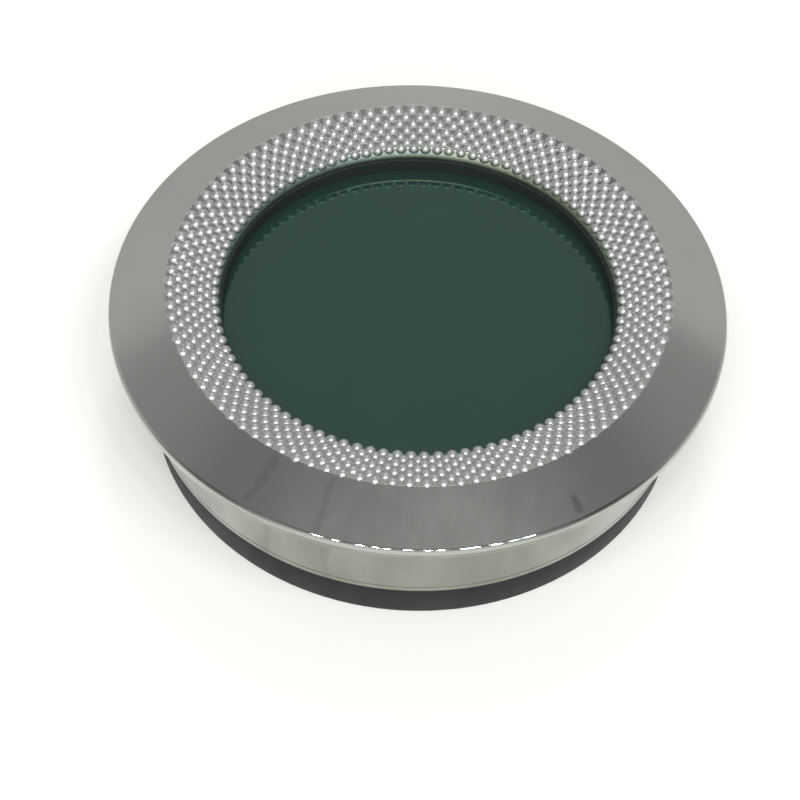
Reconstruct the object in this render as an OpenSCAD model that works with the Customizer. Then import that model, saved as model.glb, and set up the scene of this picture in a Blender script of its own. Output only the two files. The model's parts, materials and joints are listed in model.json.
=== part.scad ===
// Round digital hygrometer for a humidor lid.
// The plated bezel drops into a round hole from outside, and the black rear housing closes it from behind.
// Millimetres. Z = 0 is the back face, +Z points out of the display, and the axis of the bezel is X = Y = 0.

/* [Bezel] */
// Diameter of the flange
flange_d = 50; // [49:0.5:54]
// Diameter of the round body below the flange
body_d = 45; // [45:0.1:45.4]
// Height of the straight outer edge of the flange
edge_h = 0.9; // [0.6:0.1:1.2]
// Rise of the flange from its outer edge to the beaded band
flange_rise = 1.8; // [1.2:0.1:2.2]
// Outer diameter of the beaded band
band_d = 40.4; // [38:0.2:42]
// Inner diameter of the beaded band, which is the opening over the display
opening_d = 32.2; // [31:0.2:32.6]
// Drop of the beaded band from its outer to its inner edge
band_drop = 1.3; // [0.8:0.1:1.5]
// How far the beads stand proud of the band
bead_h = 0.2; // [0.1:0.05:0.3]

/* [Display] */
// Thickness of the clear window
lens_t = 1.0; // [0.8:0.1:1.1]
// Thickness of the black gasket over the window
gasket_t = 1.2; // [1:0.1:1.3]
// Diameter of the round display glass
glass_d = 33.2; // [33:0.1:33.4]
// Thickness of each sheet of display glass
glass_t = 0.55; // [0.4:0.05:0.55]
// Thickness of each polarising film
film_t = 0.2; // [0.1:0.05:0.2]

/* [Rear housing] */
// Diameter of the black rear housing where it shows behind the bezel
housing_d = 44.4; // [43.8:0.1:44.6]
// Height of the black band that shows behind the bezel
band_h = 3.4; // [3:0.1:3.6]
// Thickness of the back wall
floor_t = 1.2; // [1:0.1:1.2]
// Diameter of the battery door
door_d = 22.3; // [21.8:0.1:22.4]
// Radius of the two push buttons
button_r = 1.6; // [1.2:0.1:1.8]
// How far a button travels
button_travel = 0.3; // [0.2:0.05:0.3]
// Number of vent holes on each side of the battery door
side_vents = 5; // [3:1:6]

/* [Hidden] */
$fn = 96;

// A cut runs this far past the face it opens
cut = 1;
// Running clearance, on the radius, between a moving piece and its hole
run = 0.05;
// Clearance, on the radius, between pieces that are only placed together
fit = 0.1;

// Levels, from the back face up
body_wall = 1.3;
z_board = 5.9;
board_t = 1.0;
z_frame = z_board + board_t;
frame_h = 3.0;
z_lens = z_frame + frame_h;
z_gasket = z_lens + lens_t;
z_lip = z_gasket + gasket_t;
lip_h = 1.0;
z_edge = z_lip + lip_h + band_drop - flange_rise;
z_seat = z_edge - edge_h;
z_ridge = z_edge + flange_rise;
// Broken edges of the bezel's body and of the housing's foot
edge_break = 0.25;
foot_break = 0.15;

// Radii
flange_r = flange_d / 2;
body_r = body_d / 2;
bore_r = body_r - body_wall;
opening_r = opening_d / 2;
band_r = band_d / 2;
pocket_r = 19.2;
lens_r = pocket_r - fit;
gasket_r = opening_r - 0.2;
glass_r = glass_d / 2;
film_r = glass_r - 0.6;
frame_r = bore_r - 0.2;
board_r = bore_r - 0.4;
spigot_r = bore_r - fit;
cavity_r = spigot_r - 1.2;
housing_r = housing_d / 2;

// Three screws join the rear housing to bosses inside the bezel
boss_r = 1.75;
boss_ring_r = bore_r - 1.65;
boss_angles = [90, 210, 330];
z_boss = 7.2;
post_r = 1.4;
long_screw_r = 0.8;
long_screw_top = 9.2;
long_head_r = 1.35;
head_depth = 1.0;
head_recess = 0.25;

// Four screws join the circuit board to the display frame
board_screw_ring_r = 18.6;
board_screw_angles = [45, 135, 225, 315];
short_screw_r = 0.6;
short_screw_top = 9.0;
short_head_r = 1.1;
short_head_h = 0.6;
cross_w = 0.35;
cross_depth = 0.35;

// The display's contact ledge and the rubber strip under it
ledge_w = 18;
ledge_y = -18.7;
strip_w = 17;
strip_t = 1.4;
strip_y = -17.8;
z_glass = z_frame + 1.5;

// Coin cell, its well and its door
well_y = 4.6;
well_r = 10.25;
well_wall_r = 12.2;
well_h = 5.0;
cell_r = 10.0;
z_cell = 1.9;
cell_h = 3.2;
cell_skin = 0.25;
door_r = door_d / 2;
door_bore_r = door_r + run;
door_step = 1.8;
door_bottom = 0.3;
door_top = 1.75;
seal_z = 1.1;
seal_tube_r = 0.22;
groove_w = 0.5;
groove_depth = 0.5;
coin_slot = [12, 1.8, 0.8];
// Moulded dots: one on the door points to the housing's upper dot when shut, and to its lower dot when open
mark_r = 0.4;
mark_depth = 0.2;
door_mark_r = 9.4;
housing_mark_r = 12.8;

// Buttons, their switches and the sensor between them
button_x = 6.5;
button_y = -13.2;
button_bottom = 0.35;
collar_r = button_r + 0.6;
collar_h = 0.5;
stem_r = 1.0;
z_plunger = 3.8;
plunger_r = 0.9;
plunger_h = 0.9;
switch_side = 4.2;
switch_h = 1.8;
sensor_y = -13.4;
sensor_size = [5, 5];
vent_r = 0.6;
vent_ring_r = 16.4;
vent_step = 11;
slot_size = [4.4, 0.8];
slot_pitch = 1.7;

plated = [0.66, 0.67, 0.65];
steel = [0.75, 0.75, 0.76];
black_plastic = [0.1, 0.11, 0.12];
dark_rubber = [0.06, 0.06, 0.07];

// Places a child at an angle on a ring about the bezel's axis.
module on_ring(r, angle) {
    rotate([0, 0, angle])
        translate([r, 0, 0])
            children();
}

// A flat ring with square edges.
module ring(outer_r, inner_r, h) {
    difference() {
        cylinder(r = outer_r, h = h);
        translate([0, 0, -cut])
            cylinder(r = inner_r, h = h + 2 * cut);
    }
}

// A box centred in X and Y that stands on its base.
module block(size) {
    translate([-size[0] / 2, -size[1] / 2, 0])
        cube(size);
}

// A flat-bottomed screw, head down, with a cross recess in the head.
module screw(head_r, head_h, shaft_r, length) {
    difference() {
        cylinder(r = head_r, h = head_h);
        for (turn = [0, 90])
            rotate([0, 0, turn])
                translate([0, 0, -cut])
                    block([1.3 * head_r, cross_w, cut + cross_depth]);
    }
    translate([0, 0, head_h])
        cylinder(r = shaft_r, h = length);
}

// Half section of the bezel: skirt, flange, beaded band at the crests of its beads, lip and window pocket.
module bezel_section() {
    band_top = z_ridge + bead_h;
    lip_top = z_lip + lip_h;
    polygon([
        [bore_r, band_h],
        [body_r - edge_break, band_h],
        [body_r, band_h + edge_break],
        [body_r, z_seat],
        [flange_r - 0.1, z_seat],
        [flange_r, z_seat + 0.1],
        [flange_r, z_edge],
        [band_r + 0.2, z_ridge],
        [band_r - 0.2, band_top],
        [(band_r + opening_r) / 2, (band_top + lip_top) / 2 + 0.25],
        [opening_r + 0.3, lip_top + 0.1],
        [opening_r, lip_top - 0.2],
        [opening_r, z_lip],
        [pocket_r, z_lip],
        [pocket_r, z_lens],
        [bore_r, z_lens],
    ]);
}

// Die-cast and plated: the flange, the beaded band and the round body are one piece, with three screw bosses.
module bezel() {
    color(plated)
        difference() {
            union() {
                rotate_extrude()
                    bezel_section();
                for (angle = boss_angles)
                    on_ring(boss_ring_r, angle)
                        translate([0, 0, z_boss])
                            cylinder(r = boss_r, h = z_lens - z_boss);
            }
            for (angle = boss_angles)
                on_ring(boss_ring_r, angle)
                    translate([0, 0, z_boss - cut])
                        cylinder(r = long_screw_r + 0.02, h = long_screw_top + 0.2 - z_boss + cut);
        }
}

module window_gasket() {
    color(dark_rubber)
        translate([0, 0, z_gasket])
            ring(pocket_r - fit, gasket_r, gasket_t);
}

// Clear disc with a small broken edge at the front.
module window_lens() {
    color([0.24, 0.32, 0.29, 0.5])
        translate([0, 0, z_lens])
            rotate_extrude()
                polygon([[0, 0], [lens_r, 0], [lens_r, lens_t - 0.15], [lens_r - 0.15, lens_t], [0, lens_t]]);
}

// Foam ring that presses the display away from the window.
module display_spacer() {
    color(dark_rubber)
        translate([0, 0, z_glass + 2 * glass_t])
            ring(glass_r, film_r + 0.05, z_lens - z_glass - 2 * glass_t);
}

module front_polariser() {
    color([0.2, 0.27, 0.24])
        translate([0, 0, z_glass + 2 * glass_t])
            cylinder(r = film_r, h = film_t);
}

module front_glass() {
    color([0.6, 0.7, 0.65, 0.4])
        translate([0, 0, z_glass + glass_t])
            cylinder(r = glass_r, h = glass_t);
}

// The rear glass runs past the front one on one side, as the ledge that carries the display's contacts.
module rear_glass() {
    color([0.55, 0.65, 0.6, 0.4])
        translate([0, 0, z_glass])
            union() {
                cylinder(r = glass_r, h = glass_t);
                translate([-ledge_w / 2, ledge_y, 0])
                    cube([ledge_w, ledge_w / 2, glass_t]);
            }
}

module rear_polariser() {
    color([0.45, 0.52, 0.48])
        translate([0, 0, z_glass - film_t])
            cylinder(r = film_r - fit, h = film_t);
}

// Moulded ring that carries the display over the circuit board.
module display_frame() {
    color(black_plastic)
        difference() {
            translate([0, 0, z_frame])
                cylinder(r = frame_r, h = frame_h);
            translate([0, 0, z_frame - cut])
                cylinder(r = film_r, h = frame_h + 2 * cut);
            translate([0, 0, z_glass])
                cylinder(r = glass_r + fit, h = frame_h);
            translate([-ledge_w / 2 - fit, ledge_y - fit, z_glass])
                cube([ledge_w + 2 * fit, ledge_w / 2, frame_h]);
            translate([0, strip_y, z_frame - cut])
                block([strip_w + 2 * fit, strip_t + 2 * fit, frame_h]);
            for (angle = boss_angles)
                on_ring(boss_ring_r, angle)
                    translate([0, 0, z_frame - cut])
                        cylinder(r = boss_r + 2 * fit, h = frame_h + 2 * cut);
            for (angle = board_screw_angles)
                on_ring(board_screw_ring_r, angle)
                    translate([0, 0, z_frame - cut])
                        cylinder(r = short_screw_r + 0.02, h = short_screw_top + 0.2 - z_frame + cut);
        }
}

// Striped rubber strip that carries the signals from the board up to the display's ledge.
module contact_strip() {
    color([0.85, 0.45, 0.55])
        translate([0, strip_y, z_frame])
            block([strip_w, strip_t, z_glass - z_frame]);
}

module circuit_board() {
    color([0.1, 0.38, 0.2])
        difference() {
            translate([0, 0, z_board])
                cylinder(r = board_r, h = board_t);
            for (angle = boss_angles)
                on_ring(boss_ring_r, angle)
                    translate([0, 0, z_board - cut])
                        cylinder(r = boss_r + 2 * fit, h = board_t + 2 * cut);
            for (angle = board_screw_angles)
                on_ring(board_screw_ring_r, angle)
                    translate([0, 0, z_board - cut])
                        cylinder(r = short_screw_r + fit, h = board_t + 2 * cut);
        }
}

// Black resin over the bare chip: a shallow dome.
module chip_coating() {
    dome_r = 4;
    dome_h = 1;
    ball_r = (dome_r * dome_r + dome_h * dome_h) / (2 * dome_h);
    color(black_plastic)
        translate([0, 2, z_frame])
            intersection() {
                translate([0, 0, dome_h - ball_r])
                    sphere(r = ball_r);
                cylinder(r = dome_r + 1, h = dome_h + 1);
            }
}

module capacitors() {
    color([0.7, 0.55, 0.35])
        for (i = [0:4])
            translate([-9 + 3 * i, -6.5, z_frame])
                block([1, 1.6, 0.6]);
}

module resistors() {
    color([0.12, 0.12, 0.13])
        for (i = [0:3])
            translate([-9 + 6 * i, 9.5, z_frame])
                block([2, 1.2, 0.5]);
}

// A small steel can that lies on the underside of the board, on two legs.
module clock_crystal() {
    can_r = 1;
    can_l = 6;
    can_z = z_board - can_r - 0.1;
    color(steel)
        translate([15.4, -4.5, can_z]) {
            rotate([-90, 0, 0])
                cylinder(r = can_r, h = can_l);
            for (side = [-1, 1])
                translate([0.4 * side, -1.4, -0.15])
                    block([0.25, 2.8, 0.3]);
            for (side = [-1, 1])
                translate([0.4 * side, -2.6, -0.15])
                    block([0.25, 0.4, can_r + 0.25]);
        }
}

// Ceramic plate with its sensing film, under the vent slots.
module humidity_sensor() {
    color([0.92, 0.92, 0.88])
        translate([0, sensor_y, z_board - 0.8])
            block([sensor_size[0], sensor_size[1], 0.8]);
}

// Slotted white cap over the sensing film.
module sensor_cover() {
    cover_h = 1.1;
    color([0.85, 0.87, 0.9])
        translate([0, sensor_y, z_board - 0.8 - cover_h])
            difference() {
                block([sensor_size[0], sensor_size[1], cover_h]);
                translate([0, 0, 0.3])
                    block([sensor_size[0] - 0.8, sensor_size[1] - 0.8, cover_h]);
                for (i = [-1:1])
                    translate([0, 1.2 * i, -cut])
                        block([3, 0.5, 2 * cut]);
            }
}

module thermistor() {
    bead_r = 0.8;
    color([0.15, 0.15, 0.2])
        translate([-15.4, -2.5, 3.6]) {
            sphere(r = bead_r);
            for (side = [-1, 1])
                translate([0, 0.4 * side, 0])
                    cylinder(r = 0.15, h = z_board - 3.6);
        }
}

// Push switch under the board, with a hole for its plunger.
module push_switch(x) {
    plunger_room = z_plunger + plunger_h - (z_board - switch_h) + button_travel + 0.2;
    color([0.2, 0.2, 0.22])
        translate([x, button_y, z_board - switch_h])
            difference() {
                block([switch_side, switch_side, switch_h]);
                translate([0, 0, -cut])
                    cylinder(r = plunger_r + run, h = cut + plunger_room);
            }
}

module push_plunger(x) {
    color([0.9, 0.9, 0.85])
        translate([x, button_y, z_plunger])
            cylinder(r = plunger_r, h = plunger_h);
}

// Rear button: cap in the back wall, collar that keeps it in, and stem up to the switch.
module push_button(x) {
    z_collar = floor_t + run;
    color([0.25, 0.26, 0.28])
        translate([x, button_y, 0])
            rotate_extrude()
                polygon([
                    [0, button_bottom],
                    [button_r - 0.25, button_bottom],
                    [button_r, button_bottom + 0.25],
                    [button_r, z_collar],
                    [collar_r, z_collar],
                    [collar_r, z_collar + collar_h],
                    [stem_r, z_collar + collar_h],
                    [stem_r, z_plunger],
                    [0, z_plunger],
                ]);
}

module unit_switch() {
    push_switch(-button_x);
}

module unit_plunger() {
    push_plunger(-button_x);
}

module unit_button() {
    push_button(-button_x);
}

module calibrate_switch() {
    push_switch(button_x);
}

module calibrate_plunger() {
    push_plunger(button_x);
}

module calibrate_button() {
    push_button(button_x);
}

// Bent strip that touches the side of the cell, with its foot under the board.
module positive_contact() {
    strip = 0.25;
    color(steel)
        translate([0, well_y, 0])
            rotate([90, 0, 0])
                translate([0, 0, -2])
                    linear_extrude(height = 4)
                        polygon([
                            [cell_r + 0.02, 2.3],
                            [cell_r + 0.02 + strip, 2.3],
                            [cell_r + 0.02 + strip, z_board - strip],
                            [13.4, z_board - strip],
                            [13.4, z_board],
                            [cell_r + 0.02, z_board],
                        ]);
}

// Leaf spring under the board that presses on the middle of the cell.
module negative_contact() {
    strip = 0.2;
    touch = z_cell + cell_h;
    color(steel)
        translate([0, well_y, 0])
            rotate([90, 0, 0])
                translate([0, 0, -1.5])
                    linear_extrude(height = 3)
                        polygon([
                            [-7, z_board],
                            [-7, z_board - strip],
                            [-3, z_board - strip],
                            [1.2, touch],
                            [3.2, touch],
                            [3.8, touch + 0.25],
                            [3.7, touch + 0.25 + strip],
                            [3, touch + strip],
                            [1.3, touch + strip],
                            [-2.9, z_board],
                        ]);
}

// The cell's outer cup, open upwards.
module cell_can() {
    color(steel)
        translate([0, well_y, z_cell])
            rotate_extrude()
                polygon([
                    [0, 0],
                    [cell_r - 0.3, 0],
                    [cell_r, 0.3],
                    [cell_r, cell_h - 0.35],
                    [cell_r - cell_skin, cell_h - 0.35],
                    [cell_r - cell_skin, cell_skin],
                    [0, cell_skin],
                ]);
}

// The cell's negative cap, open downwards.
module cell_cap() {
    cap_r = cell_r - 1.1;
    color([0.7, 0.7, 0.71])
        translate([0, well_y, z_cell])
            rotate_extrude()
                polygon([
                    [cap_r - cell_skin, 0.5],
                    [cap_r, 0.5],
                    [cap_r, cell_h - 0.3],
                    [cap_r - 0.3, cell_h],
                    [0, cell_h],
                    [0, cell_h - cell_skin],
                    [cap_r - 0.3 - cell_skin / 2, cell_h - cell_skin],
                    [cap_r - cell_skin, cell_h - 0.3 - cell_skin / 2],
                ]);
}

module cell_grommet() {
    color([0.15, 0.15, 0.2])
        translate([0, well_y, z_cell + cell_skin + 0.02])
            ring(cell_r - cell_skin - 0.03, cell_r - 1.07, cell_h - 0.7);
}

module cell_core() {
    color([0.2, 0.2, 0.22])
        translate([0, well_y, z_cell + cell_skin + 0.02])
            cylinder(r = cell_r - 1.45, h = cell_h - 2 * cell_skin - 0.1);
}

// Outer form of the rear housing before anything is cut: band, spigot, screw posts and cell well.
module housing_form() {
    difference() {
        rotate_extrude()
            polygon([
                [0, 0],
                [housing_r - foot_break, 0],
                [housing_r, foot_break],
                [housing_r, band_h],
                [spigot_r, band_h],
                [spigot_r, z_board],
                [0, z_board],
            ]);
        translate([0, 0, floor_t])
            cylinder(r = cavity_r, h = z_board);
    }
    for (angle = boss_angles)
        on_ring(boss_ring_r, angle)
            cylinder(r = post_r, h = z_boss);
    translate([0, well_y, 0])
        cylinder(r = well_wall_r, h = well_h);
}

// Moulded back: it closes the bezel, holds the cell and lets air in to the sensor.
module rear_housing() {
    color(black_plastic)
        difference() {
            housing_form();
            translate([0, well_y, -cut])
                cylinder(r = door_bore_r, h = door_step + cut);
            translate([0, well_y, -cut])
                cylinder(r = well_r, h = well_h + 2 * cut);
            translate([cell_r - 1, well_y - 2.3, 2.1])
                cube([1.6, 4.6, well_h]);
            for (angle = boss_angles)
                on_ring(boss_ring_r, angle)
                    translate([0, 0, -cut])
                        cylinder(r = long_screw_r + fit, h = z_boss + 2 * cut);
            for (angle = boss_angles)
                on_ring(boss_ring_r, angle)
                    translate([0, 0, -cut])
                        cylinder(r = long_head_r + fit, h = head_depth + cut);
            for (x = [-button_x, button_x])
                translate([x, button_y, -cut])
                    cylinder(r = button_r + run, h = floor_t + 2 * cut);
            for (side = [-1, 1])
                translate([0, well_y + side * housing_mark_r, -cut])
                    cylinder(r = mark_r, h = cut + mark_depth);
            for (i = [-1:1])
                translate([0, sensor_y + slot_pitch * i, -cut])
                    block([slot_size[0], slot_size[1], floor_t + 2 * cut]);
            for (side = [0, 180])
                for (i = [0:side_vents - 1])
                    on_ring(vent_ring_r, side + vent_step * (i - (side_vents - 1) / 2))
                        translate([0, 0, -cut])
                            cylinder(r = vent_r, h = floor_t + 2 * cut);
        }
}

// Thin dust filter over the vent slots, inside the housing.
module vent_membrane() {
    color([0.93, 0.93, 0.9])
        translate([0, sensor_y, floor_t])
            block([slot_size[0] + 1.4, 3 * slot_pitch + 0.8, 0.15]);
}

// Rubber ring in the groove of the battery door.
module door_seal() {
    color([0.3, 0.12, 0.1])
        translate([0, well_y, seal_z])
            rotate_extrude()
                translate([door_r - seal_tube_r - 0.03, 0])
                    circle(r = seal_tube_r, $fn = 32);
}

// Round screw-in door with a coin slot and a groove for its seal.
module battery_door() {
    color([0.14, 0.15, 0.16])
        translate([0, well_y, 0])
            difference() {
                rotate_extrude()
                    polygon([
                        [0, door_bottom],
                        [door_r - 0.3, door_bottom],
                        [door_r, door_bottom + 0.3],
                        [door_r, seal_z - groove_w / 2],
                        [door_r - groove_depth, seal_z - groove_w / 2],
                        [door_r - groove_depth, seal_z + groove_w / 2],
                        [door_r, seal_z + groove_w / 2],
                        [door_r, door_top],
                        [0, door_top],
                    ]);
                translate([0, 0, door_bottom - cut])
                    block([coin_slot[0], coin_slot[1], cut + coin_slot[2]]);
                translate([0, door_mark_r, door_bottom - cut])
                    cylinder(r = mark_r, h = cut + mark_depth);
            }
}

module housing_screws() {
    color(steel)
        for (angle = boss_angles)
            on_ring(boss_ring_r, angle)
                translate([0, 0, head_recess])
                    screw(long_head_r, head_depth - head_recess, long_screw_r, long_screw_top - head_depth);
}

module board_screws() {
    color(steel)
        for (angle = board_screw_angles)
            on_ring(board_screw_ring_r, angle)
                translate([0, 0, z_board - short_head_h])
                    screw(short_head_r, short_head_h, short_screw_r, short_screw_top - z_board);
}

bezel();
window_gasket();
window_lens();
display_spacer();
front_polariser();
front_glass();
rear_glass();
rear_polariser();
display_frame();
contact_strip();
circuit_board();
chip_coating();
capacitors();
resistors();
clock_crystal();
humidity_sensor();
sensor_cover();
thermistor();
unit_switch();
unit_plunger();
calibrate_switch();
calibrate_plunger();
positive_contact();
negative_contact();
cell_can();
cell_cap();
cell_grommet();
cell_core();
rear_housing();
vent_membrane();
door_seal();
battery_door();
unit_button();
calibrate_button();
housing_screws();
board_screws();
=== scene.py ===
# %% [markdown]
# # A round digital hygrometer for a humidor lid
#
# The real thing is a zinc die casting with bright plating: a wide sloping flange, a band of fine beads
# round a deep opening, and a round body that drops into a hole in the lid. A black gasket and a clear
# window close the opening over a dark green display, and a black moulded housing closes the back. This
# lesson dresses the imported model. The pieces that shape every reflection are made anew as numpy surfaces,
# and the other nodes get their finishes. Lengths are in millimetres until the moment when a mesh is
# filled.

# %% Load the frame
import json
import math

import bpy
import numpy as np
from mathutils import Matrix, Vector


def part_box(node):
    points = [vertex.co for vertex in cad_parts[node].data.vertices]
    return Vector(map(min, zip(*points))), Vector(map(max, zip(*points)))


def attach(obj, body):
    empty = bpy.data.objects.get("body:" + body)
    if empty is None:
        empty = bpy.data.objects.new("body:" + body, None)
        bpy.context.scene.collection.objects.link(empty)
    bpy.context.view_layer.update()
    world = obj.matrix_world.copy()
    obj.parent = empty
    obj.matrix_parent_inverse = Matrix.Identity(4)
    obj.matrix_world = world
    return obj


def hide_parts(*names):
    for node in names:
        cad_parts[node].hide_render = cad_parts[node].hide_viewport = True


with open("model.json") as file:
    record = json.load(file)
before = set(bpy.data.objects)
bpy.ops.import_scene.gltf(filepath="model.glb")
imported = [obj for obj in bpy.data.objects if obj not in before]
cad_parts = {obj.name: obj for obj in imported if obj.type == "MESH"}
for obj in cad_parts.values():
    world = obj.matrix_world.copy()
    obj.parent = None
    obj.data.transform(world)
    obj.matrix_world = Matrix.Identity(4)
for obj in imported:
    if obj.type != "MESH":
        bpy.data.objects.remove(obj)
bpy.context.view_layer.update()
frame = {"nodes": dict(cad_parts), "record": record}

MM = 0.001

# %% [markdown]
# ## Sizes
# Everything that the frame knows is read from it, so a change of the model moves the looks with it. Only
# the fine shape of the beads is decided here, because the frame holds their band as a smooth one at the
# beads' height.

# %% Sizes read from the frame
mounts = {mount["name"]: mount for mount in frame["record"]["mounts"]}


def span(node):
    """Lowest and highest corner of a node, in millimetres."""
    low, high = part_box(node)
    return np.array(low) / MM, np.array(high) / MM


bezel_low, bezel_high = span("bezel")
gasket_low, gasket_high = span("window_gasket")
lens_low = span("window_lens")[0]

flange_r = bezel_high[0]
body_r = mounts["body_plug"]["dims"]["r_mm"]
seat_z = mounts["flange_seat"]["pos_m"][2] / MM
skirt_z = bezel_low[2]
lip_z = gasket_high[2]
print("flange", flange_r, "body", body_r, "seat", round(seat_z, 2), "lip", round(lip_z, 2))

# %% Sizes of the bezel's section
edge_h = 0.9
edge_z = seat_z + edge_h
flange_rise = 1.8
ridge_z = edge_z + flange_rise
band_r = 20.3
opening_r = 16.1
lip_h = 1.0
pocket_gap = 0.1
wall = 1.3
pocket_r = gasket_high[0] + pocket_gap
bore_r = body_r - wall
print("edge", round(edge_z, 2), "ridge", round(ridge_z, 2), "beads from", opening_r, "to", band_r)

# %% [markdown]
# ## Turned surfaces
# A casting that was finished on a lathe is a section carried round an axis. It could be made with a Screw
# modifier, but a numpy grid gives every corner of the section its own radius in one list: rows run along
# the section, columns run round the axis, and every face joins four neighbours. The grid closes on itself
# both ways, so there is no seam and no pole.

# %% A closed grid becomes a mesh
def volume(points):
    """Signed volume of a closed grid: the sum over its faces of (right - down) x (far - here) . middle / 6,
    where middle is halfway from here to far."""
    down = np.roll(points, -1, axis=0)
    right = np.roll(points, -1, axis=1)
    far = np.roll(down, -1, axis=1)
    return np.sum(np.cross(right - down, far - points) * (points + far) / 2) / 6


def filled(name, points, *blocks):
    """Smooth mesh object from points in millimetres and blocks of faces, each block with its own corner
    count."""
    sizes = np.concatenate([np.full(len(block), block.shape[1]) for block in blocks])
    mesh = bpy.data.meshes.new(name)
    mesh.vertices.add(len(points))
    mesh.vertices.foreach_set("co", (points * MM).astype(np.float32).ravel())
    mesh.loops.add(int(sizes.sum()))
    corners = np.concatenate([block.ravel() for block in blocks])
    mesh.loops.foreach_set("vertex_index", corners.astype(np.int32))
    mesh.polygons.add(len(sizes))
    mesh.polygons.foreach_set("loop_start", (np.cumsum(sizes) - sizes).astype(np.int32))
    mesh.polygons.foreach_set("use_smooth", np.ones(len(sizes), bool))
    mesh.update(calc_edges=True)
    mesh.validate()
    made = bpy.data.objects.new(name, mesh)
    bpy.context.scene.collection.objects.link(made)
    print(name, "has", len(sizes), "faces")
    return made


def closed_grid(name, points):
    """Mesh object from a grid that wraps both ways. Quad (i, j) joins rows i, i+1 and columns j, j+1,
    and the order turns round when the volume comes out negative, so that faces point outwards."""
    rows, columns = points.shape[:2]
    index = np.arange(rows * columns).reshape(rows, columns)
    down = np.roll(index, -1, axis=0)
    quads = np.stack([index, down, np.roll(down, -1, axis=1), np.roll(index, -1, axis=1)], axis=-1)
    quads = quads.reshape(-1, 4)
    if volume(points) > 0:
        quads = quads[:, ::-1]
    return filled(name, points.reshape(-1, 3), quads)


# %% Sections with rounded corners
def fillet(before, corner, after, radius, steps=6):
    """Arc that touches both sides of a corner. Its points are the centre plus a turning mix of the two
    touching radii a and b: (sin((1 - s) w) a + sin(s w) b) / sin w, where w is the angle between
    them."""
    back = before - corner
    ahead = after - corner
    back /= np.linalg.norm(back)
    ahead /= np.linalg.norm(ahead)
    half = math.acos(np.clip(back @ ahead, -1, 1)) / 2
    between = (back + ahead) / np.linalg.norm(back + ahead)
    middle = corner + between * radius / math.sin(half)
    first = corner + back * radius / math.tan(half) - middle
    last = corner + ahead * radius / math.tan(half) - middle
    turn = math.pi - 2 * half
    s = np.linspace(0, 1, steps)[:, None]
    return middle + (np.sin((1 - s) * turn) * first + np.sin(s * turn) * last) / math.sin(turn)


def rounded(corners, guard=0.02):
    """Closed section from corners (r, z, radius). A guard point just outside each arc keeps the flats
    flat."""
    spots = [np.array(corner[:2], float) for corner in corners]
    section = []
    for i, corner in enumerate(corners):
        after = spots[(i + 1) % len(spots)]
        arc = fillet(spots[i - 1], spots[i], after, corner[2])
        back = (spots[i - 1] - arc[0]) / np.linalg.norm(spots[i - 1] - arc[0])
        ahead = (after - arc[-1]) / np.linalg.norm(after - arc[-1])
        section += [arc[0] + back * guard, *arc, arc[-1] + ahead * guard]
    return np.array(section)


def turned(section, columns):
    """Grid of a section (r, z) carried round Z: x = r cos(angle), y = r sin(angle)."""
    angle = np.linspace(0, 2 * math.pi, columns, endpoint=False)
    r, z = section[:, :1], section[:, 1:]
    return np.stack([r * np.cos(angle), r * np.sin(angle), z + 0 * angle], axis=-1)


# %% [markdown]
# ## The bezel
# One casting: skirt, flange, band and lip. Light gathers on its small rounded edges, so each corner has
# its own radius: a full one at the flange's rim, crisp ones at the root. The lip's wall leans out towards
# the top, so it shows the bright horizon and not the dark window. A fine turned line runs round the skirt
# above its lower edge.

# %% Bezel
skirt_line_h = 0.62
skirt_line_z = skirt_z + skirt_line_h
skirt_line = 0.015
lip_foot = 0.35
lip_lean = 0.4
# Each corner is (distance from the axis, height, radius), up the outside and down inside the lip.
bezel_section = rounded([
    (bore_r, skirt_z, 0.08),
    (body_r, skirt_z, 0.22),
    (body_r, skirt_line_z - skirt_line, 0.01),
    (body_r - skirt_line, skirt_line_z, 0.01),
    (body_r, skirt_line_z + skirt_line, 0.01),
    (body_r, seat_z, 0.18),
    (flange_r, seat_z, 0.38),
    (flange_r, edge_z, 0.42),
    (band_r, ridge_z, 0.03),
    (opening_r + lip_lean, lip_z + lip_h, 0.12),
    (opening_r, lip_z + lip_foot, 1.0),
    (opening_r, lip_z, 0.04),
    (pocket_r, lip_z, 0.05),
    (pocket_r, lens_low[2], 0.05),
    (bore_r, lens_low[2], 0.05),
])
bezel_turned = closed_grid("bezel_turned", turned(bezel_section, 480))

# %% [markdown]
# ## The beads
# Seven rings of a hundred beads stand on the band like a knurl on a cone. Every other ring is turned by
# half a bead step, and each ring inwards is smaller by one factor, the one that keeps a bead as long as
# it is wide: the pattern is then the same at every size. The beads could be a height on the band's own
# grid, but round tops need far fewer faces as separate balls sunk into the casting, and their creases
# stay sharp.

# %% Where the beads stand
beads_round = 100
bead_rings = 7
outer_ring_r = 19.86
ring_factor = math.exp(math.pi / beads_round)
ball_share = 0.48
stand_share = 0.24

rng = np.random.default_rng(7)
bead_shape = (bead_rings, beads_round)
ring_stray, turn_stray, size_stray = 0.035, 0.02, 0.03
ring_number = np.arange(bead_rings)[:, None] + rng.normal(0, ring_stray, bead_shape)
bead_r = outer_ring_r / ring_factor ** ring_number
bead_turn = np.arange(beads_round) + np.arange(bead_rings)[:, None] / 2
bead_turn = bead_turn + rng.normal(0, turn_stray, bead_shape)
bead_angle = bead_turn / beads_round * 2 * math.pi
bead_pitch = 2 * math.pi * bead_r / beads_round
ball_r = bead_pitch * ball_share * rng.normal(1, size_stray, bead_shape)
slope = np.array([band_r - opening_r - lip_lean, ridge_z - lip_z - lip_h])
slope /= np.linalg.norm(slope)
band_z = ridge_z - (band_r - bead_r) * slope[1] / slope[0]
ring_radii = [round(float(radius), 2) for radius in (bead_r.min(), bead_r.max())]
print("beads:", bead_r.size, "ring radii:", ring_radii)

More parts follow.
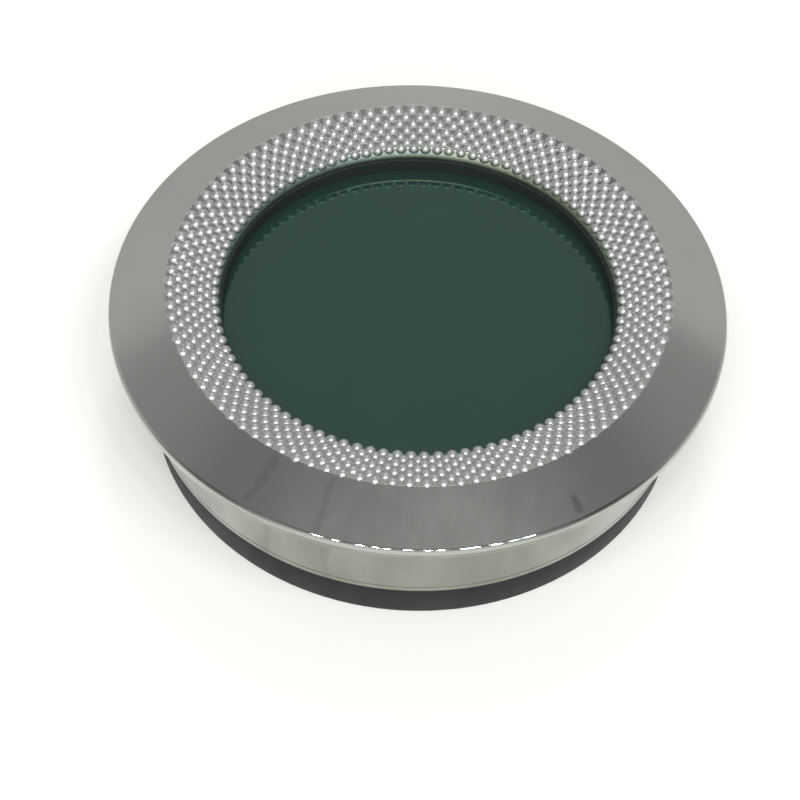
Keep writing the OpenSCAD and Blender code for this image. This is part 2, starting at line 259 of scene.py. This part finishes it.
# %% Beads
sides = 10
tilts = np.radians([16, 32, 48, 64, 80])
outwards = np.stack([np.cos(bead_angle), np.sin(bead_angle), 0 * bead_angle], axis=-1)
around = np.stack([-np.sin(bead_angle), np.cos(bead_angle), 0 * bead_angle], axis=-1)
upwards = np.array([0.0, 0.0, 1.0])
up_band = outwards * slope[0] + upwards * slope[1]
off_band = upwards * slope[0] - outwards * slope[1]
centre = outwards * bead_r[..., None] + upwards * band_z[..., None]
centre += off_band * (bead_pitch * stand_share - ball_r)[..., None]


def beads():
    """Balls about their centres: centre + R (cos t n + sin t (cos a u + sin a v)), where n stands off
    the band, u runs up it and v round it, for the tilts t from the pole and even angles a. A flat face
    closes the base."""
    a = np.linspace(0, 2 * math.pi, sides, endpoint=False)
    flat = np.cos(a)[:, None] * up_band[:, :, None, :] + np.sin(a)[:, None] * around[:, :, None, :]
    high = np.cos(tilts)[:, None, None] * off_band[:, :, None, None, :]
    side = high + np.sin(tilts)[:, None, None] * flat[:, :, None, :, :]
    unit = np.concatenate([off_band[:, :, None, :], side.reshape(*bead_shape, -1, 3)], axis=2)
    points = centre[:, :, None, :] + unit * ball_r[..., None, None]
    first = np.arange(points.shape[0] * points.shape[1])[:, None] * points.shape[2]
    here = np.arange(sides)
    there = (here + 1) % sides
    cap = np.stack([0 * here, 1 + here, 1 + there], axis=-1)
    ring = 1 + np.arange(len(tilts) - 1)[:, None] * sides
    flank = np.stack([ring + here, ring + sides + here, ring + sides + there, ring + there], axis=-1)
    base = 1 + (len(tilts) - 1) * sides + here[::-1]
    blocks = [(first[:, :, None] + block.reshape(-1, block.shape[-1])).reshape(-1, block.shape[-1])
              for block in (cap, flank, base[None, :])]
    return filled("bezel_beads", points.reshape(-1, 3), *blocks)


bezel_beads = beads()

# %% [markdown]
# ## Gasket
# The gasket is the short black wall between the plated lip and the window. It is turned like the bezel,
# with soft edges, because its own sharp corner would show as a hard line. The window under it stays as
# packed: it is a flat disc whose edge sits under the gasket, so only its finish matters.

# %% Gasket
gasket_ledge = 0.2
gasket_r = opening_r - gasket_ledge
gasket_section = rounded([
    (gasket_r, gasket_low[2], 0.06),
    (gasket_high[0], gasket_low[2], 0.06),
    (gasket_high[0], gasket_high[2], 0.06),
    (gasket_r, gasket_high[2], 0.05),
])
gasket = closed_grid("gasket_ring", turned(gasket_section, 360))

# %% [markdown]
# ## Edges of the moulded parts
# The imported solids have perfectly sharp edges, and no moulding has. Each outer part is copied, its loose
# triangles are merged, and a narrow bevel rounds what is sharper than thirty degrees. The copy stands for
# its node.

# %% Softened copies of the moulded nodes
import bmesh

# Edges above the first angle are bevelled, faces within the second are one, and so are corners closer
# than the distance in millimetres.
sharp = math.radians(30)
same_face = math.radians(0.5)
same_corner = 0.002


def softened(node, width, segments=2):
    """Copy of a node with merged corners, smooth shading that breaks at sharp edges, and a narrow
    bevel."""
    mesh = frame["nodes"][node].data.copy()
    mesh.name = node + "_moulded"
    work = bmesh.new()
    work.from_mesh(mesh)
    bmesh.ops.remove_doubles(work, verts=work.verts, dist=same_corner * MM)
    bmesh.ops.dissolve_limit(work, angle_limit=same_face, verts=work.verts, edges=work.edges)
    for face in work.faces:
        face.smooth = True
    work.to_mesh(mesh)
    work.free()
    mesh.materials.clear()
    made = bpy.data.objects.new(node + "_moulded", mesh)
    bpy.context.scene.collection.objects.link(made)
    bevel = made.modifiers.new("Edges", "BEVEL")
    bevel.width = width * MM
    bevel.segments = segments
    bevel.limit_method = "ANGLE"
    bevel.angle_limit = sharp
    bevel.harden_normals = True
    bevel.use_clamp_overlap = True
    print(made.name, "from", len(mesh.polygons), "faces")
    return made


housing = softened("rear_housing", 0.08)
door = softened("battery_door", 0.07)
unit_button = softened("unit_button", 0.06)
calibrate_button = softened("calibrate_button", 0.06)
screws = softened("housing_screws", 0.03)

# %% [markdown]
# ## Shader maths as Python
# A finish is a small sum of noises and masks. Written as node links it is hard to read, so one class
# wraps a socket and gives it the usual operators: each one adds a Math node. Every other node comes from
# one method of the paint.

# %% Wires, trees and paints
class Wire:
    """A socket that can be used in arithmetic."""

    def __init__(self, tree, socket):
        self.tree = tree
        self.socket = socket

    def _math(self, operation, first, second):
        return self.tree.node("Math", {"operation": operation}, {0: first, 1: second})

    def __add__(self, other):
        return self._math("ADD", self, other)

    def __radd__(self, other):
        return self._math("ADD", other, self)

    def __sub__(self, other):
        return self._math("SUBTRACT", self, other)

    def __rsub__(self, other):
        return self._math("SUBTRACT", other, self)

    def __mul__(self, other):
        return self._math("MULTIPLY", self, other)

    def __rmul__(self, other):
        return self._math("MULTIPLY", other, self)

    def __truediv__(self, other):
        return self._math("DIVIDE", self, other)


class Tree:
    """Nodes of one material or world."""

    def __init__(self, tree):
        self.nodes = tree.nodes
        self.links = tree.links

    def plug(self, socket, value):
        """Links a wire to a socket, or sets the socket's value."""
        if isinstance(value, Wire):
            self.links.new(value.socket, socket)
        else:
            socket.default_value = value

    def node(self, kind, settings, sockets, out=0):
        """Adds a node: settings first, then the values or wires of its sockets. Returns one output. The
        setting stops fills a ramp with pairs of position and grey."""
        made = self.nodes.new("ShaderNode" + kind)
        for setting, value in settings.items():
            if setting == "stops":
                self.fill_ramp(made.color_ramp.elements, value)
            else:
                setattr(made, setting, value)
        for key, value in sockets.items():
            self.plug(made.inputs[key], value)
        return Wire(self, made.outputs[out])

    def fill_ramp(self, elements, stops):
        while len(elements) < len(stops):
            elements.new(1.0)
        for element, (position, grey) in zip(elements, stops):
            element.position = position
            element.color = rgb(grey, grey, grey)

    def mix(self, factor, first, second):
        """Colour between first and second."""
        sockets = {0: factor, 6: first, 7: second}
        return self.node("Mix", {"data_type": "RGBA"}, sockets, out=2)

    def step(self, value, low, high):
        """0 below low, 1 above high, smooth between."""
        sockets = {"Value": value, "From Min": low, "From Max": high}
        return self.node("MapRange", {"interpolation_type": "SMOOTHSTEP"}, sockets)


class Paint(Tree):
    """One material and its shader. Constants go straight to the shader's sockets."""

    def __init__(self, name, **constants):
        self.material = bpy.data.materials.new(name)
        self.material.use_nodes = True
        super().__init__(self.material.node_tree)
        self.shader = self.nodes["Principled BSDF"].inputs
        for socket, value in constants.items():
            self.shader[socket.replace("_", " ")].default_value = value

    def noise(self, size, detail=3, roughness=0.5, stretch=(1, 1, 1)):
        """Soft noise from 0 to 1 whose lumps are about size millimetres wide, or more where stretch is
        below 1."""
        where = self.node("TexCoord", {}, {}, out=3)
        scale = [each / size / MM for each in stretch]
        placed = self.node("Mapping", {}, {"Vector": where, "Scale": scale})
        sockets = {"Vector": placed, "Scale": 1.0, "Detail": detail, "Roughness": roughness}
        return self.node("TexNoise", {}, sockets)

    def radius(self):
        """Distance from the axis, in millimetres."""
        where = self.node("TexCoord", {}, {}, out=3)
        flat = self.node("Mapping", {}, {"Vector": where, "Scale": (1 / MM, 1 / MM, 0)})
        return self.node("VectorMath", {"operation": "LENGTH"}, {0: flat}, out=1)

    def along(self, axis):
        """Distance along an axis, in millimetres."""
        where = self.node("TexCoord", {}, {}, out=3)
        return self.node("SeparateXYZ", {}, {"Vector": where}, out="XYZ".index(axis)) / MM

    def bump(self, height, depth):
        """Tilts the normal by a height from 0 to 1 that is depth millimetres deep."""
        normal = self.node("Bump", {}, {"Height": height, "Distance": depth * MM, "Strength": 1.0})
        self.plug(self.shader["Normal"], normal)


def rgb(red, green, blue):
    return (red, green, blue, 1.0)


# %% [markdown]
# ## Bright plating
# Plating over a polished casting is a mirror that has lived: broad soft reflections, a faint cloudiness
# where it was wiped, and a very low waviness left by the polishing. Colour hardly changes, roughness does
# most of the work.

# %% Plated metal
def plating(name, clean, dull, smooth, rough, ripple):
    """Metal between two greys. Roughness follows broad clouds and fine wiping marks, and the bump is a
    ripple. Returns the paint, its base colour and its roughness."""
    paint = Paint(name, Metallic=1.0, IOR=1.5)
    clouds = paint.noise(9, detail=4, roughness=0.55)
    wiping = paint.noise(0.9, detail=4, stretch=(1, 0.12, 1))
    tone = paint.step(clouds * 0.75 + wiping * 0.25, 0.3, 0.7)
    colour = paint.mix(tone, clean, dull)
    roughness = smooth + tone * (rough - smooth)
    paint.plug(paint.shader["Base Color"], colour)
    paint.plug(paint.shader["Roughness"], roughness)
    paint.bump(paint.noise(1.6, detail=2), ripple)
    return paint, colour, roughness


bead_bright = rgb(0.58, 0.59, 0.575)
bead_wiped = rgb(0.50, 0.51, 0.495)
plated_beads = plating("plated_beads", bead_bright, bead_wiped, 0.37, 0.47, 0.0)[0]
print("paint:", plated_beads.material.name)

# %% [markdown]
# ## Wear, painted shade and a painted reflection on the turned casting
# The casting changes in four places. Its rim is rubbed bright by the hands that fit it. The skirt is
# painted darker in the middle, as painted shade where it mirrors the shaded floor in front, and paler on
# its flanks, as a painted reflection of the lit floor; this painted shade reaches up over the lower part of
# the rim's flat edge. Inside the lip a painted reflection of the green display tints the plating, from
# blue-green on the left to yellow-green on the right. A few soft dark streaks run along rays on the near
# side of the flange. Each place is a mask over the same plating, so the casting keeps one finish. A painted
# image could do the same, but a mask from coordinates is sharp at every distance.

# %% Dark streaks
def streak(paint, degrees, width, inner, outer):
    """Soft mark along a ray of the flange. With t the distance beside the ray and w the width, it is 1
    where t = 0 and falls smoothly to 0 at t = w, and it fades out at the inner and the outer radius. A
    noise bends it."""
    turn = math.radians(degrees)
    x = paint.along("X")
    y = paint.along("Y")
    bend = (paint.noise(2.5) - 0.5) * 4 * width
    beside = y * math.cos(turn) - x * math.sin(turn) + bend
    outward = x * math.cos(turn) + y * math.sin(turn)
    fade = 0.4
    length = paint.step(outward, inner, inner + fade) - paint.step(outward, outer - fade, outer)
    return (1 - paint.step(beside * beside, 0, width ** 2)) * length


# %% Paint of the turned casting
bright = rgb(0.46, 0.48, 0.45)
wiped = rgb(0.44, 0.46, 0.43)
turned_paint, colour, roughness = plating("plated_turned", bright, wiped, 0.15, 0.21, 0.004)
radius = turned_paint.radius()
height = turned_paint.along("Z")
x = turned_paint.along("X")
print("paint:", turned_paint.material.name)

# %% Skirt: painted shade in the middle, a painted reflection on its flanks
# Painted shade: the skirt's dark paint reaches up over the lower part of the rim's flat edge.
skirt_fade = seat_z + edge_h * 0.6
skirt_top = seat_z + edge_h * 0.8
skirt = 1 - turned_paint.step(height, skirt_fade, skirt_top)
smears = turned_paint.step(turned_paint.noise(5, detail=4, stretch=(1, 1, 0.4)), 0.35, 0.65)
# Painted shade in the middle of the skirt, and a painted reflection of the lit floor on its flanks.
lit_flanks = turned_paint.step(x * x, (body_r * 0.3) ** 2, (body_r * 0.8) ** 2)
shaded_middle_tone = turned_paint.mix(smears, rgb(0.27, 0.28, 0.245), rgb(0.35, 0.36, 0.32))
lit_flank_tone = turned_paint.mix(smears, rgb(0.36, 0.38, 0.35), rgb(0.48, 0.50, 0.47))
skirt_shade_tone = turned_paint.mix(lit_flanks, shaded_middle_tone, lit_flank_tone)
print("skirt up to", round(skirt_top, 2))

# %% Lip: a painted reflection of the green display
lip_fade = 0.1
lip = 1 - turned_paint.step(radius, opening_r + lip_lean - lip_fade, opening_r + lip_lean)
right_side = turned_paint.step(x, -opening_r / 2, opening_r / 2)
# Painted reflection of the green display on the lip: blue-green on the left, yellow-green on the right.
lip_reflection_tone = turned_paint.mix(right_side, rgb(0.44, 0.58, 0.52), rgb(0.54, 0.59, 0.45))
print("lip up to", opening_r + lip_lean)

# %% Marks on the flange
flange_marks = [
    (241, 0.5, band_r, flange_r - 0.4, 0.17),
    (254, 0.4, band_r, flange_r - 0.2, 0.15),
    (301.5, 0.4, 22.9, 24.6, 0.4),
]
marks = 0
for degrees, width, inner, outer, strength in flange_marks:
    marks = marks + streak(turned_paint, degrees, width, inner, outer) * strength
print("marks:", len(flange_marks))

# %% All four places together
rim_polish = 0.8
lip_dullness = 0.2
rim_fade = flange_r - 0.36
rim_start = flange_r - 0.26
rim = turned_paint.step(radius, rim_fade, rim_start)
# Base colour with the skirt's painted shade, the lip's painted reflection and the dark streaks.
shaded_and_marked = turned_paint.mix(skirt, turned_paint.mix(lip, colour, lip_reflection_tone), skirt_shade_tone)
shaded_and_marked = turned_paint.mix(marks, shaded_and_marked, rgb(0.10, 0.11, 0.10))
turned_paint.plug(turned_paint.shader["Base Color"], shaded_and_marked)
worn_roughness = roughness * (1 - rim * rim_polish) + lip * lip_dullness
turned_paint.plug(turned_paint.shader["Roughness"], worn_roughness)
print("plated finishes:", turned_paint.material.name, plated_beads.material.name)

# %% [markdown]
# ## Moulded, cast and clear finishes
# Black plastic shows a fine spark-eroded grain and pale rubbed spots, rubber a coarser and flatter one.
# The window is a dark tinted sheet with a greenish coating: its skin shows its own colour and gloss, and
# a small share of it lets the display through. Glass with real refraction could do this too, but a share
# of transparency costs less and keeps its colour in every light.

# %% Moulded plastic and rubber
def moulded(name, colour, roughness, grain=0.16, depth=0.006, shaded_and_marked=0.35):
    """Plastic whose grain is a fine noise, with broad patches that are a little lighter and smoother."""
    paint = Paint(name, IOR=1.46, Specular_IOR_Level=0.35)
    patch = paint.step(paint.noise(6, detail=4), 0.4, 0.75)
    lighter = [min(1.0, channel * 1.25 + 0.006) for channel in colour[:3]]
    paint.plug(paint.shader["Base Color"], paint.mix(patch * shaded_and_marked, colour, rgb(*lighter)))
    paint.plug(paint.shader["Roughness"], roughness - patch * 0.08)
    paint.bump(paint.noise(grain, detail=3, roughness=0.6), depth)
    return paint.material


# %% Steel, films and glass
def bright_steel(name, colour, roughness):
    """Nickelled steel with fine drawn lines along X."""
    paint = Paint(name, Metallic=1.0)
    lines = paint.noise(0.12, detail=2, stretch=(0.05, 1, 1))
    darker = rgb(*[0.8 * channel for channel in colour[:3]])
    paint.plug(paint.shader["Base Color"], paint.mix(lines, colour, darker))
    paint.plug(paint.shader["Roughness"], roughness + lines * 0.12)
    paint.bump(lines, 0.002)
    return paint.material


def film(name, first, second, roughness):
    """Smooth film whose colour drifts slowly between two tones."""
    paint = Paint(name, IOR=1.5)
    drift = paint.step(paint.noise(11, detail=1), 0.35, 0.65)
    paint.plug(paint.shader["Base Color"], paint.mix(drift, first, second))
    paint.plug(paint.shader["Roughness"], roughness + paint.noise(0.5) * 0.06)
    return paint.material


def clear(name, tint, share, roughness, gloss):
    """Coated clear sheet: a share of it is a tinted skin with a coloured gloss, the rest lets light
    through."""
    paint = Paint(name, IOR=1.8, Alpha=share, Specular_Tint=gloss)
    haze = paint.noise(4, detail=4)
    hazy = rgb(*[0.85 * channel for channel in tint[:3]])
    paint.plug(paint.shader["Base Color"], paint.mix(haze, tint, hazy))
    paint.plug(paint.shader["Roughness"], roughness + haze * 0.03)
    return paint.material


# %% [markdown]
# ## One finish for each slot
# The record names a slot for every node. The table gives each slot its finish, so the inside of the
# instrument is painted with the same care as the outside.

# %% Finishes by slot
finishes = {
    "plated_shell": turned_paint.material,
    "black_rubber": moulded("black_rubber", rgb(0.020, 0.028, 0.026), 0.6, grain=0.25, depth=0.004),
    "window": clear("window", rgb(0.022, 0.049, 0.041), 0.92, 0.02, rgb(0.6, 1.0, 0.75)),
    "display_film": film("display_film", rgb(0.034, 0.066, 0.055), rgb(0.040, 0.072, 0.054), 0.3),
    "display_glass": clear("display_glass", rgb(0.7, 0.78, 0.74), 0.25, 0.05, rgb(0.8, 1.0, 0.9)),
    "reflector_film": film("reflector_film", rgb(0.36, 0.42, 0.38), rgb(0.42, 0.47, 0.43), 0.35),
    "black_plastic": moulded("black_plastic", rgb(0.009, 0.011, 0.012), 0.52),
    "pink_rubber": moulded("pink_rubber", rgb(0.60, 0.26, 0.32), 0.6, grain=0.3),
    "board": moulded("board", rgb(0.02, 0.16, 0.06), 0.3, grain=1.2, depth=0.02),
    "black_resin": moulded("black_resin", rgb(0.012, 0.012, 0.013), 0.22, grain=2.0, depth=0.03),
    "ceramic_tan": moulded("ceramic_tan", rgb(0.42, 0.28, 0.15), 0.5, grain=0.1),
    "ceramic_black": moulded("ceramic_black", rgb(0.02, 0.02, 0.022), 0.45, grain=0.1),
    "ceramic_white": moulded("ceramic_white", rgb(0.75, 0.75, 0.7), 0.55, grain=0.1),
    "white_plastic": moulded("white_plastic", rgb(0.68, 0.70, 0.72), 0.4),
    "switch_plastic": moulded("switch_plastic", rgb(0.03, 0.03, 0.034), 0.4),
    "steel": bright_steel("steel", rgb(0.62, 0.62, 0.63), 0.24),
    "cell_paste": moulded("cell_paste", rgb(0.04, 0.04, 0.045), 0.8, grain=0.3, depth=0.03),
    "filter_felt": moulded("filter_felt", rgb(0.7, 0.7, 0.66), 0.9, grain=0.12, depth=0.05),
    "red_rubber": moulded("red_rubber", rgb(0.10, 0.018, 0.014), 0.55),
    "door_plastic": moulded("door_plastic", rgb(0.04, 0.043, 0.048), 0.42),
    "button_plastic": moulded("button_plastic", rgb(0.13, 0.135, 0.15), 0.45),
}
slot_of = {part["node"]: part["material_slot"] for part in frame["record"]["subparts"]}
for node, cad in frame["nodes"].items():
    cad.data.materials.clear()
    cad.data.materials.append(finishes[slot_of[node]])
print("finishes:", len(finishes), "for nodes:", len(slot_of))

# %% Every new piece rides its body, takes its slot's finish and hides its node
new_pieces = [
    (bezel_turned, "shell", "bezel", None),
    (bezel_beads, "shell", "bezel", plated_beads.material),
    (gasket, "shell", "window_gasket", None),
    (housing, "shell", "rear_housing", None),
    (door, "door", "battery_door", None),
    (unit_button, "unit_key", "unit_button", None),
    (calibrate_button, "calibrate_key", "calibrate_button", None),
    (screws, "shell", "housing_screws", None),
]
for piece, body, node, finish in new_pieces:
    piece.data.materials.append(finish or finishes[slot_of[node]])
    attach(piece, body)
    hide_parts(node)
print("new pieces:", [piece[0].name for piece in new_pieces])

# %% [markdown]
# ## Floor
# The floor is a plain pale sheet of paper. It glows a little, which keeps it white round the object
# without a lamp strong enough to burn out the plating.

# %% Floor
floor_half = 1.2
floor_mesh = bpy.data.meshes.new("floor")
floor_corners = [
    (-floor_half, -floor_half, 0),
    (floor_half, -floor_half, 0),
    (floor_half, floor_half, 0),
    (-floor_half, floor_half, 0),
]
floor_mesh.from_pydata(floor_corners, [], [(0, 1, 2, 3)])
floor = bpy.data.objects.new("floor", floor_mesh)
bpy.context.scene.collection.objects.link(floor)
paper = {"Base_Color": rgb(0.94, 0.94, 0.90), "Roughness": 0.9}
glow = {"Emission_Color": rgb(1, 1, 0.97), "Emission_Strength": 0.15}
floor_mesh.materials.append(Paint("floor_paper", **paper, **glow).material)
print("floor", 2 * floor_half, "m wide")

# %% [markdown]
# ## Sky
# Metal shows its surroundings more than itself, so the sky is a soft gradient: bright at the horizon,
# greyer overhead, a little brighter behind the camera and darker at its two front corners. That alone
# shades the flange from light at its far side to dark at the near one. A ramp over the height of each
# direction is enough. The height is the direction's Z, which is the sine of its elevation.

# %% Sky
sky_world = bpy.data.worlds.new("soft_sky")
bpy.context.scene.world = sky_world
sky_world.use_nodes = True
sky = Tree(sky_world.node_tree)
direction = sky.node("TexCoord", {}, {}, out=0)
across = sky.node("SeparateXYZ", {}, {"Vector": direction}, out=0)
towards = sky.node("SeparateXYZ", {}, {"Vector": direction}, out=1)
upward = sky.node("SeparateXYZ", {}, {"Vector": direction}, out=2)
low_stops = [(0.0, 0.60), (0.5, 0.70), (0.55, 0.68), (0.60, 0.40)]
high_stops = [(0.70, 0.42), (0.80, 0.36), (0.85, 0.25), (0.92, 0.29), (1.0, 0.34)]
sky_stops = low_stops + high_stops
tilt_to_right = 0.05
front_gain = 0.5
corner_loss = 0.35
grey = sky.node("ValToRGB", {"stops": sky_stops}, {"Fac": upward + across * tilt_to_right})
behind_camera = 0 - towards
front = sky.step(behind_camera, 0.3, 1.0) * front_gain
corners = sky.step(behind_camera, -0.1, 0.2) * sky.step(across * across, 0.2, 0.5) * corner_loss
sky.plug(sky.nodes["Background"].inputs["Color"], grey + front - corners)
print("sky stops:", len(sky_stops))


# %% [markdown]
# ## Lamps
# Each lamp is mirrored by many beads as a bright spot, and by the flange's rounded rim as one short dash.
# A row of thirteen small ones on the camera's side gives a broken line of dashes, and their uneven
# spacing keeps it lively. One larger lamp on the far side lights the beads from behind. It stands where
# no flat of the bezel mirrors it.

# %% Lamps
def lamp(name, azimuth, elevation, wide, high, power, distance=0.5):
    """Lamp that faces the object. Azimuth 0 is on the camera's side, and positive turns to the right."""
    data = bpy.data.lights.new(name, "AREA")
    data.shape = "RECTANGLE"
    data.size = wide
    data.size_y = high
    data.energy = power
    made = bpy.data.objects.new(name, data)
    bpy.context.scene.collection.objects.link(made)
    a = math.radians(azimuth)
    e = math.radians(elevation)
    back = Vector((math.sin(a) * math.cos(e), -math.cos(a) * math.cos(e), math.sin(e)))
    made.location = back * distance
    made.rotation_mode = "QUATERNION"
    made.rotation_quaternion = back.to_track_quat("Z", "Y")


row_lamps = 13
row_stray = np.random.default_rng(3).uniform(-2.5, 2.5, row_lamps)
row_azimuths = np.linspace(-35, 52, row_lamps) + row_stray
for i, azimuth in enumerate(row_azimuths):
    lamp(f"row_{i}", azimuth, 60, wide=0.011, high=0.03, power=0.105)
lamp("top", 176, 62, wide=0.1, high=0.1, power=0.24)
print("lamps:", len(bpy.data.lights))

# %% [markdown]
# ## Camera
# The camera looks down at the flange from six flange radii away. Its aim is a little off the axis of the
# bezel and it is rolled by a few degrees, as a camera held by hand is.

# %% Camera
camera_elevation = math.radians(48.65)
flange_radii_away = 6.0
camera_distance = flange_radii_away * flange_r
aim_right = math.radians(-0.42)
aim_up = math.radians(-3.28)
roll = math.radians(2.7)
focal = 83.2
sensor = 36.0

forward = Vector((0, math.cos(camera_elevation), -math.sin(camera_elevation)))
right = Vector((1, 0, 0))
up = right.cross(forward)
eye = Vector((0, 0, edge_z)) - forward * camera_distance
turned_right = right * math.cos(aim_right) - forward * math.sin(aim_right)
turned_forward = forward * math.cos(aim_right) + right * math.sin(aim_right)
raised_forward = turned_forward * math.cos(aim_up) + up * math.sin(aim_up)
raised_up = up * math.cos(aim_up) - turned_forward * math.sin(aim_up)
camera_right = turned_right * math.cos(roll) + raised_up * math.sin(roll)
camera_up = raised_up * math.cos(roll) - turned_right * math.sin(roll)

camera_data = bpy.data.cameras.new("camera")
camera_data.lens = focal
camera_data.sensor_width = sensor
camera_data.clip_start = 0.005
camera = bpy.data.objects.new("camera", camera_data)
bpy.context.scene.collection.objects.link(camera)
axes = Matrix((camera_right, camera_up, -raised_forward)).transposed()
camera.matrix_world = Matrix.Translation(eye * MM) @ axes.to_4x4()
bpy.context.scene.camera = camera
bpy.context.scene.view_settings.view_transform = "Standard"
print("camera at", [round(value, 4) for value in camera.location])
